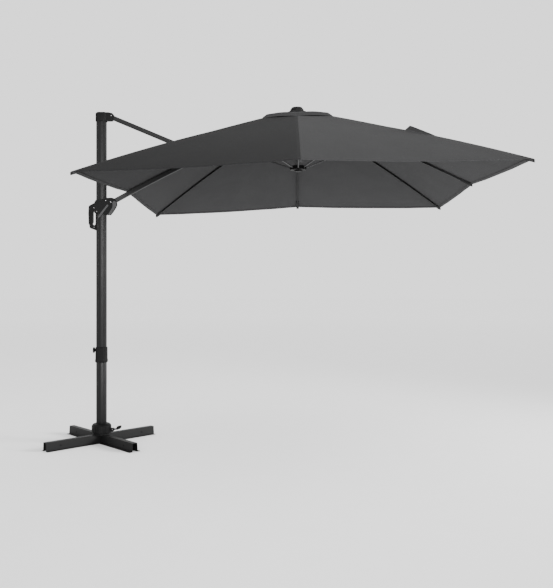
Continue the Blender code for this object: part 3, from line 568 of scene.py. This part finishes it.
ARM_COVER = sorted(
    (-spot.x, spot.z) for spot in (TO_CANOPY @ arm_point(k / 80, TUBE_HALF_Z) for k in range(81))
)


def read_line(line, r):
    """The value at r on a line of (r, value) pairs."""
    for (r0, z0), (r1, z1) in zip(line, line[1:]):
        if r <= r1:
            return z0 + (z1 - z0) * (r - r0) / (r1 - r0)
    return line[-1][1]


CROWN_LIFT, CROWN_LIFT_SHARE = {True: 0.030, False: 0.0105}, 0.45  # at corners, at middles


def seam_height(angle, r):
    """Laid on the rib or the arm, and drawn up towards the crown where the vent is sewn on."""
    corner = angle % 90 != 0
    to_crown = max(1 - r / reach_of(angle) / CROWN_LIFT_SHARE, 0.0)
    drawn_up = CROWN_LIFT[corner] * to_crown**1.2
    if angle == 180:
        return read_line(ARM_COVER, r) + CLOTH_LIFT - 0.0008 + drawn_up
    return rib_line(corner, r) + RIB_HALF_H + CLOTH_LIFT - 0.0008 + drawn_up


def reach_of(angle):
    """How far the cloth reaches from the crown along a rib."""
    return HALF_SIDE * math.sqrt(2) if angle % 90 else MID_REACH


def on_seam(angle, share):
    r = share * reach_of(angle)
    return spoke(angle) @ Vector((r, 0.0, seam_height(angle, r)))


DOWN = CANOPY.to_3x3() @ Vector((0, 0, -1))


def cloth_point(angle, share, u):
    """The canopy's cloth: between two ribs, slack in the middle, drawn tight at the tips."""
    other = (angle + (45 if u > 0 else -45)) % 360
    a = abs(u)
    point = on_seam(angle, share).lerp(on_seam(other, share), a)
    # the sag between the ribs, a little different in each half gore
    slack = CLOTH_SAG * share * 4 * a * (1 - a)
    middle = (angle + (22.5 if u > 0 else -22.5)) % 360
    slack *= 1.0 + 0.08 * math.sin(9.0 * share + 0.7 * middle)
    # shallow creases towards the hem
    wave = math.sin(46.0 * a * (1 - a) * share + 1.3 * middle)
    pull = 0.0010 * wave * (4 * a * (1 - a)) * share**3
    # the hem curves in between the tips
    inward = CANOPY @ Vector((0, 0, point.z - PIVOT_TOP)) - point
    inward.z = 0.0
    drawn = 0.010 * 4 * a * (1 - a) * share**6
    return point + DOWN * (slack + pull) + inward.normalized() * drawn


COLUMNS = [k / 48 - 0.5 for k in range(49)]
MIDDLE = len(COLUMNS) // 2
SHARES = [1.0 - (1.0 - HOLE_SHARE) * k / 44 for k in range(45)]
HEM = ((1.0012, 0.0014), (1.0, 0.0028), (0.992, 0.0042), (0.984, 0.0040))  # share, depth under
# the slot for the stay fork in the gore over the arm: half width, and reach from the elbow
SLOT_HALF, SLOT_BEFORE, SLOT_BEYOND, SLOT_WIDEST = 0.0216, 0.0724, 0.0349, 0.036


def stitch_guides(mesh, across=0.5, inward=0.5, painted_lights=(1.0, 1.0)):
    """What the cloth material reads: metres from the rib and from the hem, and each side's painted
    light and shade factor.
    """
    count = len(mesh.vertices)
    for key, values in zip(("across", "inward", "painted_light_low", "painted_light_high"), (across, inward, *painted_lights)):
        values = values if isinstance(values, list) else [values] * count
        mesh.attributes.new(key, "FLOAT", "POINT").data.foreach_set("value", values)


# painted light and shade: the cloth's colour is scaled per half gore, darker on the near left and
# paler on the near right, so the canopy looks lit from the right
PANEL_PAINTED_LIGHT = {  # by the angle of the panel's middle
    22.5: 1.0,
    67.5: 1.0,
    112.5: 0.96,
    157.5: 0.86,
    202.5: 0.68,
    247.5: 0.50,
    292.5: 1.12,
    337.5: 1.06,
}


def cloth_painted_light(angle, u):
    """Painted light and shade: a factor on the cloth's colour for each half gore, low on the near left
    and high on the near right, as a light from the right would make them.
    """
    return PANEL_PAINTED_LIGHT[(angle + (22.5 if u > 0 else -22.5)) % 360]


def grid_faces(rows, cols, skip=None):
    """Faces over rows of points, without those for which skip(row, column) is true."""
    faces = []
    for i in range(rows - 1):
        for j in range(cols - 1):
            if skip and skip(i, j):
                continue
            k = i * cols + j
            faces.append((k, k + 1, k + cols + 1, k + cols))
    return faces


def holder(angle):
    """The body that carries the gore at an angle."""
    return "arm" if angle == 180 else f"rib_{angle:03d}"


def tangent(angle):
    """The direction across a gore, in the canopy's own plane."""
    a = math.radians(angle)
    return CANOPY.to_3x3() @ Vector((-math.sin(a), math.cos(a), 0.0))


def declare(piece, width, length):
    """Works out a sheet's flat cut, grown where its area needs that; the result is not kept."""
    size = sum(p.area for p in piece.data.polygons)
    scale = math.sqrt(max(size / (width * length), 1.0))
    width, length = round(width * scale + 0.0005, 3), round(length * scale + 0.0005, 3)


GORE_LENGTH, GORE_BREADTH, GORE_CUT = 1.09, 0.83, 0.80  # in reaches: UVs, UVs, flat width
elbow = TO_CANOPY @ PIVOT_B
SLOT = [(gap - elbow.x) / MID_REACH for gap in (SLOT_BEYOND, SLOT_BEFORE)]
for angle in PANEL_ANGLES:
    over_arm = angle == 180
    points, uvs, across, inward = [], [], [], []
    length = reach_of(angle) * GORE_LENGTH
    shares = sorted(SHARES + (SLOT if over_arm else []))
    rows = [(share, 0.0) for share in shares] + list(HEM)
    for share, under in rows:
        for j, u in enumerate(COLUMNS):
            if over_arm and abs(j - MIDDLE) == 1:
                u = math.copysign(min(SLOT_HALF / (HALF_SIDE * share), SLOT_WIDEST), u)
            points.append(cloth_point(angle, share, u) + DOWN * under)
            breadth = reach_of(angle) * GORE_BREADTH * share * u
            uvs.append((breadth, share * length))
            across.append(u * share * HALF_SIDE)
            inward.append((1.0 - share) * reach_of(angle))

    def cut_out(i, j):
        beside = j in (MIDDLE - 1, MIDDLE)
        return over_arm and beside and SLOT[0] <= rows[i][0] and rows[i + 1][0] <= SLOT[1]

    faces = grid_faces(len(rows), len(COLUMNS), cut_out)
    cloth = mesh_piece(f"canopy_cloth_{angle:03d}", points, faces, CLOTH, uvs=uvs)
    # each half gore's painted light and shade factor goes on with the stitch guides
    stitch_guides(cloth.data, across, inward, (cloth_painted_light(angle, -1), cloth_painted_light(angle, 1)))
    body = holder(angle)
    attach(cloth, body)
    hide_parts(f"canopy_panel_{angle:03d}")
    declare(cloth, reach_of(angle) * GORE_CUT, reach_of(angle))
    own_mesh(cloth)


# ---- vent cap: billowed sectors over a near-black net, painted shade for the open gap under the cap ---
VENT_HEIGHT = (  # share of the way out, share of the height
    (0.0, 0.92),
    (0.08, 0.79),
    (0.18, 0.67),
    (0.34, 0.55),
    (0.52, 0.48),
    (0.70, 0.43),
    (0.86, 0.30),
    (1.0, 0.0),
)
VENT_INNER_R, VENT_LIFT, VENT_GAP, VENT_BILLOW = 0.066, 0.0038, 0.007, 0.006
VENT_COLUMNS = [k / 20 - 0.5 for k in range(21)]
VENT_HEM = ((1.0, 0.0022, 1.003), (1.0, 0.0040, 0.998), (0.94, 0.0052, 1.0))  # share, depth, spread
VENT_WIDTH, VENT_LENGTH, VENT_HEM_WIDTH, VENT_SEWN_LENGTH = 0.30, 0.36, 0.29, 0.27
NET_ROWS, NET_WIDTH, NET_HEIGHT = 7, 0.30, 0.10
NET_FOOT, NET_HEAD = (HOLE_SHARE + 0.008, -0.0030), (0.965, 0.0062)  # share, depth under


def vent_rim(angle, u):
    """Sewn down on the ribs, standing open between them."""
    other = (angle + (45 if u > 0 else -45)) % 360
    spots = []
    for one in (angle, other):
        r = VENT_CORNER_R if one % 90 else VENT_MID_R
        spots.append(spoke(one) @ Vector((r, 0.0, seam_height(one, r) + VENT_LIFT)))
    a = abs(u)
    return spots[0].lerp(spots[1], a) - DOWN * VENT_GAP * (4 * a * (1 - a)) ** 1.4


def vent_point(angle, share, u):
    """share 0 at the crown, 1 at the rim of the vent cap."""
    a = abs(u)
    rim = TO_CANOPY @ vent_rim(angle, u)
    middle = a if angle % 90 else 1 - a
    height = read_line(VENT_HEIGHT, share) * (1 - 0.12 * middle * math.sin(math.pi * share))
    flat = Vector((rim.x, rim.y, 0.0))
    spot = (flat.normalized() * VENT_INNER_R).lerp(flat, share)
    billow = VENT_BILLOW * 4 * a * (1 - a) * math.sin(math.pi * min(share * 1.1, 1.0))
    spot.z = rim.z + (VENT_TOP - rim.z) * height + billow
    return CANOPY @ spot


for angle in PANEL_ANGLES:
    points, uvs, across, inward = [], [], [], []
    rows = [(k / 24, 0.0, 1.0) for k in range(25)] + list(VENT_HEM)
    for share, under, out in rows:
        for u in VENT_COLUMNS:
            spot = vent_point(angle, share, u)
            points.append(PIVOT_D + (spot - PIVOT_D) * out + DOWN * under)
            uvs.append((u * share * VENT_WIDTH, share * VENT_LENGTH))
            across.append(u * share * VENT_HEM_WIDTH)
            inward.append((1.0 - share) * VENT_SEWN_LENGTH)
    faces = grid_faces(len(rows), len(VENT_COLUMNS))
    cap = mesh_piece(f"vent_cloth_{angle:03d}", points, faces, CLOTH, uvs=uvs)
    stitch_guides(cap.data, across, inward)
    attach(cap, holder(angle))
    declare(cap, 0.22, 0.30)
    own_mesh(cap)

    # a dark net between the cloth and the vent cap's hem: painted shade where the gap is open
    points, uvs = [], []
    net_columns = VENT_COLUMNS[::2]
    for i in range(NET_ROWS):
        share = i / (NET_ROWS - 1)
        for u in net_columns:
            low = cloth_point(angle, NET_FOOT[0], u) + DOWN * NET_FOOT[1]
            high = vent_point(angle, NET_HEAD[0], u) + DOWN * NET_HEAD[1]
            points.append(low.lerp(high, share))
            uvs.append((u * NET_WIDTH, share * NET_HEIGHT))
    faces = grid_faces(NET_ROWS, len(net_columns))
    net = mesh_piece(f"vent_net_{angle:03d}", points, faces, SHADE_NET, uvs=uvs)
    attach(net, holder(angle))
    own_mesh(net)

# a round reinforcing patch under the finial keeps the crown covered as the ribs fold
PATCH_ROWS, PATCH_COLS = 9, 64
PATCH_INNER_R, PATCH_FLAT_R, PATCH_OUTER_R = 0.016, 0.045, 0.090
PATCH_TOP, PATCH_FALL, PATCH_RUN = 0.0372, 0.0225, 0.059
points, uvs = [], []
for i in range(PATCH_ROWS):
    r = PATCH_INNER_R + (PATCH_OUTER_R - PATCH_INNER_R) * i / (PATCH_ROWS - 1)
    z = PATCH_TOP - PATCH_FALL * (max(r - PATCH_FLAT_R, 0.0) / PATCH_RUN) ** 1.3
    points += circle(r, z, CANOPY, PATCH_COLS)
    uvs += [flat.xy for flat in circle(r, 0.0, Matrix(), PATCH_COLS)]
faces = []
for i in range(PATCH_ROWS - 1):
    for j in range(PATCH_COLS):
        n = (j + 1) % PATCH_COLS
        a, b = i * PATCH_COLS, (i + 1) * PATCH_COLS
        faces.append((a + j, a + n, b + n, b + j))
patch = mesh_piece("crown_patch", points, faces, CLOTH, uvs=uvs)
stitch_guides(patch.data)
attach(patch, "crown")

# a moulded ring round the hub, its section closed on itself
RING = ((0.0640, 0.0104), (0.0646, 0.0200), (0.0640, 0.0330), (0.0600, 0.0330), (0.0600, 0.0104))
rings = [circle(r, z, CANOPY, 48) for r, z in RING + RING[:1]]
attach(tube_mesh("crown_ring", rings, BLACK, closed_ends=False), "crown")

# the finial: a flat-topped moulded cap
FINIAL = (
    (0.0580, 0.0378),
    (0.0580, 0.0440),
    (0.0560, 0.0480),
    (0.0450, 0.0635),
    (0.0420, 0.0658),
    (0.0100, 0.0660),
)
cap_top = turned("finial_cap", FINIAL, CANOPY, BLACK, 48)
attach(cap_top, "crown")
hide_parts("finial")


# ---- rib trim: tip pockets, tip caps, ties and rivets -------------------------------------------
def rib_box(name, angle, start, end, half_t, low, high, material, slot, bevel):
    """A sleeve about a rib from one reach to another, low and high off its centre line."""
    corner = angle % 90 != 0
    place = spoke(angle)
    rings = []
    for k in range(5):
        r = start + (end - start) * k / 4
        z = rib_line(corner, r)
        ease = 0.9 if k in (0, 4) else 1.0
        rings.append(
            [
                place @ Vector((r, t * half_t * ease, z + h))
                for t, h in ((-1, low * ease), (1, low * ease), (1, high * ease), (-1, high * ease))
            ]
        )
    made = tube_mesh(name, rings, material)
    made.data.shade_flat()
    round_edges(made, bevel, 3)
    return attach(made, f"rib_{angle:03d}")


# where a strut is hinged to its rib, in the frame of its spoke
KNEE_ALONG, KNEE_SLOPE, KNEE_ROOT_Z = 0.615, math.radians(20.5), -0.020
KNEE_X = HINGE_R + KNEE_ALONG * math.cos(KNEE_SLOPE)
KNEE = Vector((KNEE_X, 0, KNEE_ROOT_Z - KNEE_ALONG * math.sin(KNEE_SLOPE)))
TIES = {True: (0.92, 1.45), False: (1.02,)}  # reaches of the ties on corner and middle ribs
for angle in RIB_ANGLES:
    corner = angle % 90 != 0
    far = CORNER_TIP_R if corner else MID_TIP_R
    edge = reach_of(angle)
    pocket_end = far - 0.006 if corner else edge - 0.003
    name = f"tip_pocket_{angle:03d}"
    sizes = (edge - 0.105, pocket_end, 0.0135, -0.0122, 0.0120)
    rib_box(name, angle, *sizes, CLOTH_TRIM, "canopy_cloth", 0.004)
    if corner:
        sizes = (far - 0.012, far + 0.003, 0.0078, -0.0112, 0.0112)
        rib_box(f"tip_cap_{angle:03d}", angle, *sizes, BLACK, "black_plastic", 0.0025)
    for k, r in enumerate(TIES[corner]):
        sizes = (r - 0.009, r + 0.009, 0.0068, -0.0108, 0.0118)
        rib_box(f"tie_{angle:03d}_{k}", angle, *sizes, CLOTH_TRIM, "canopy_cloth", 0.0015)
    for side in (-1, 1):
        spot = spoke(angle) @ (KNEE + Vector((0, side * 0.0094, 0)))
        out = spoke(angle).to_3x3() @ Vector((0, side, 0))
        screw_head(f"knee_rivet_{angle:03d}_{side + 1}", spot, out, f"strut_{angle:03d}", 0.0042)

# a loose fold of cloth stands up along the seam at 315 degrees
FLAP_START, FLAP_SPAN, FLAP_RISE, FLAP_PEAK, FLAP_LEAN = 0.527, 0.128, 0.040, 0.13, 0.35
FLAP_ROWS, FLAP_COLS = 25, 7
points, uvs = [], []
for i in range(FLAP_ROWS):
    share = i / (FLAP_ROWS - 1)
    r = (FLAP_START + FLAP_SPAN * share) * reach_of(315)
    foot = spoke(315) @ Vector((r, 0.0, seam_height(315, r) - 0.0015))
    falling = max(share - FLAP_PEAK, 0.0) / (1 - FLAP_PEAK)
    rise = FLAP_RISE * min(share / FLAP_PEAK, 1.0) * (1 - falling) ** 0.9
    lean = tangent(315) * FLAP_LEAN
    for j in range(FLAP_COLS):
        up = j / (FLAP_COLS - 1)
        points.append(foot + (lean * up * up - DOWN * up) * rise)
        uvs.append((r, up * 0.05))
faces = grid_faces(FLAP_ROWS, FLAP_COLS)
flap = mesh_piece("seam_flap", points, faces, CLOTH, uvs=uvs)
stitch_guides(flap.data)
fold = flap.modifiers.new("two_layers", "SOLIDIFY")
fold.thickness, fold.offset = 0.0022, 0.0
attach(flap, "rib_315")
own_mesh(flap)

# ---- screws, end plugs and mouldings --------------------------------------------------------------
CHEEK_FACE, HANDLE_FACE = 0.0437, 0.0162  # how far their sides stand off the middle plane
for name, face, holes in (
    ("cheek", CHEEK_FACE, ((0.047, 2.068), (-0.030, 1.976))),
    ("handle", HANDLE_FACE, ((-0.060, 2.010), (-0.060, 1.844))),
):
    for k, (x, z) in enumerate(holes):
        for side in (-1, 1):
            spot = (x, side * face, z)
            screw_head(f"{name}_screw_{k}_{side + 1}", spot, (0, side, 0), "carriage", 0.0046)
for name, pivot, face, body, radius in (
    ("stay", PIVOT_A, 0.0262, "mast", 0.0050),
    ("elbow", PIVOT_B, 0.0205, "stay", 0.0070),
    ("foot", PIVOT_C, CHEEK_FACE, "arm", 0.0058),
):
    for side in (-1, 1):
        spot = pivot + Vector((0, side * face, 0))
        screw_head(f"{name}_pivot_head_{side + 1}", spot, (0, side, 0), body, radius)

# a moulded brace across each cheek
BRACE_HIGH, BRACE_LOW, BRACE_HALF = Vector((0.062, 0, 2.026)), Vector((-0.012, 0, 1.930)), 0.0085
BRACE_INNER, BRACE_OUTER = 0.0425, 0.0474
run = (BRACE_LOW - BRACE_HIGH).normalized()
across = Vector((-run.z, 0, run.x))
outline = []
for end, forth in ((BRACE_HIGH, -1), (BRACE_LOW, 1)):
    for k in range(9):
        a = math.pi * k / 8
        outline.append(end + (across * -forth * math.cos(a) + run * forth * math.sin(a)) * BRACE_HALF)
for side in (-1, 1):
    rings = [[p + Vector((0, side * y, 0)) for p in outline] for y in (BRACE_INNER, BRACE_OUTER)]
    brace = tube_mesh(f"cheek_brace_{side + 1}", rings, GREY)
    brace.data.shade_flat()
    round_edges(brace, 0.0014, 3)
    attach(brace, "carriage")

# ribs round the grip of the handle
GRIP_BACK, GRIP_LOW, GRIP_PITCH, GRIP_HEIGHT = -0.1105, 1.872, 0.0095, 0.0042
GRIP = (  # distance in front of the handle's back, distance to the side
    (0.030, -0.0162),
    (0.004, -0.0172),
    (-0.0012, -0.0110),
    (-0.0016, 0.0),
    (-0.0012, 0.0110),
    (0.004, 0.0172),
    (0.030, 0.0162),
)
for k in range(11):
    z = GRIP_LOW + k * GRIP_PITCH
    rings = [
        [Vector((GRIP_BACK + dx + inset, y, top)) for dx, y in GRIP]
        for inset, top in ((0, z), (0.0012, z + GRIP_HEIGHT))
    ]
    grip = tube_mesh(f"grip_rib_{k:02d}", rings, BLACK)
    grip.data.shade_flat()
    round_edges(grip, 0.0008, 2)
    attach(grip, "carriage")

# end plugs that close the arm tube
PLUG_STEPS = (  # distance out of the tube's end, growth on the tube's own section
    (-0.010, -0.0024),
    (0.0, -0.0024),
    (0.0, 0.0),
    (0.0022, -0.0002),
    (0.0030, -0.0022),
)


def plug(name, centre, run, body, out):
    up = Vector((-run.z, 0, run.x))
    rings = []
    for depth, grow in PLUG_STEPS:
        middle = centre + run * out * depth
        section = rounded(TUBE_HALF_Z + grow, TUBE_HALF_Y + grow, 0.005 + grow * 0.5, 3)
        rings.append([middle + up * a + Vector((0, b, 0)) for a, b in section])
    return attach(tube_mesh(name, rings, BLACK), body)


ARM_LENGTH, PAST_PIVOT = 1.752, 0.016
low_end, low_next = arm_point(-PAST_PIVOT / ARM_LENGTH), arm_point(0.02)
plug("arm_plug_low", low_end, (low_next - low_end).normalized(), "arm", -1)
high_end, high_next = arm_point(1 + PAST_PIVOT / ARM_LENGTH), arm_point(0.98)
plug("arm_plug_high", high_end, (high_end - high_next).normalized(), "arm", 1)

# rings in the holes in the sides of the base's bars
GROMMET_R, GROMMET_OFF, GROMMET_Z, BAR_DRAFT = 0.520 - 0.130, 0.0252, 0.036, 0.065
GROMMET = (
    (0.0072, -0.001),
    (0.0072, 0.0006),
    (0.0062, 0.0012),
    (0.0042, 0.0011),
    (0.0038, -0.0012),
)
for k, angle in enumerate((45, 135, 225, 315)):
    a = math.radians(angle)
    out = Vector((math.cos(a), math.sin(a), 0))
    across = Vector((-out.y, out.x, 0))
    for side in (-1, 1):
        spot = out * GROMMET_R + across * side * GROMMET_OFF + Vector((0, 0, GROMMET_Z))
        place = to_line(across * side + Vector((0, 0, BAR_DRAFT)), spot)
        name = f"bar_grommet_{k}_{side + 1}"
        ring = turned(name, GROMMET, place, BLACK, 20)
        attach(ring, "base")

# rubber pad on the foot pedal's tread
PAD_HALF_Y = 0.0185
PAD_SIDE = (  # its outline from the side, as x and z
    (0.133, 0.1228),
    (0.159, 0.1318),
    (0.1695, 0.1328),
    (0.1705, 0.1385),
    (0.160, 0.1425),
    (0.133, 0.1345),
)
rings = [[Vector((x, y, z)) for x, z in PAD_SIDE] for y in (-PAD_HALF_Y, PAD_HALF_Y)]
pad = tube_mesh("pedal_pad", rings, BLACK)
pad.data.shade_flat()
round_edges(pad, 0.0022, 3)
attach(pad, "pedal")

# ribs moulded round the hub housing
HUB_RIBS = 24
HUB_RIB_SIDE = ((0.088, 0.0812), (0.092, 0.0832), (0.138, 0.0832), (0.144, 0.0812))  # z, radius
HUB_RIB_SECTION = ((-0.030, 0.003), (-0.022, 0.0), (0.022, 0.0), (0.030, 0.003))  # turn, depth
for k in range(HUB_RIBS):
    a = math.tau * k / HUB_RIBS
    rings = []
    for z, r in HUB_RIB_SIDE:
        rings.append(
            [
                Vector((math.cos(a + turn) * (r - depth), math.sin(a + turn) * (r - depth), z))
                for turn, depth in HUB_RIB_SECTION
            ]
        )
    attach(tube_mesh(f"hub_rib_{k:02d}", rings, BLACK), "mast")

# wiper seals where the mast enters the hub, the collar and the cap
for name, z, grow in (
    ("hub_seal", 0.1612, 0.0050),
    ("collar_seal", 0.8146, 0.0030),
    ("cap_seal", 2.7500, 0.0038),
):
    top = 0.0036
    steps = ((0.0, grow), (0.0022, grow), (top, grow - 0.0016), (top, 0.0004), (0.0, 0.0004))
    rings = []
    for dz, g in steps + steps[:1]:
        section = rounded(MAST_HALF_X + g, MAST_HALF_Y + g, MAST_CORNER + g, 10)
        rings.append([Vector((x, y, z + dz)) for x, y in section])
    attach(tube_mesh(name, rings, BLACK, closed_ends=False), "mast")


# ---- stage, light and camera -----------------------------------------------------------------------
bpy.ops.mesh.primitive_plane_add(size=120.0, location=(0, 0, -0.0005))
ground = bpy.context.object
ground.name = "stage_floor"
wear(ground, floor_material())
ground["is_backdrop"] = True

world = bpy.data.worlds.new("studio")
bpy.context.scene.world = world
world.use_nodes = True
background = world.node_tree.nodes["Background"]
background.inputs["Color"].default_value = (1.0, 1.0, 1.0, 1.0)
background.inputs["Strength"].default_value = 1.65


def soft_light(name, spot, target, size, power, spread):
    """A round area lamp aimed at a point; spread in degrees."""
    data = bpy.data.lights.new(name, "AREA")
    data.shape, data.size, data.energy = "DISK", size, power
    data.spread = math.radians(spread)
    lamp = bpy.data.objects.new(name, data)
    lamp.location = spot
    lamp.rotation_mode = "QUATERNION"
    lamp.rotation_quaternion = (Vector(target) - Vector(spot)).to_track_quat("-Z", "Y")
    bpy.context.scene.collection.objects.link(lamp)


soft_light("key", (9.0, -1.0, 3.4), (1.2, 0, 2.2), 3.0, 330.0, 80.0)
soft_light("bounce", (2.4, -10.5, 2.4), (1.8, 0.9, 2.4), 4.0, 200.0, 50.0)

camera_data = bpy.data.cameras.new("camera")
camera_data.sensor_width, camera_data.lens = 36.0, 44.8
camera_data.shift_y = -0.0166
camera_data.clip_end = 200.0
camera = bpy.data.objects.new("camera", camera_data)
camera.location = (1.6385, -6.249, 1.355)
yaw = math.radians(-1.245)
forward = Vector((math.sin(yaw), math.cos(yaw), 0.0))
camera.rotation_mode = "QUATERNION"
camera.rotation_quaternion = forward.to_track_quat("-Z", "Y")
bpy.context.scene.collection.objects.link(camera)
bpy.context.scene.camera = camera

low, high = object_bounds()
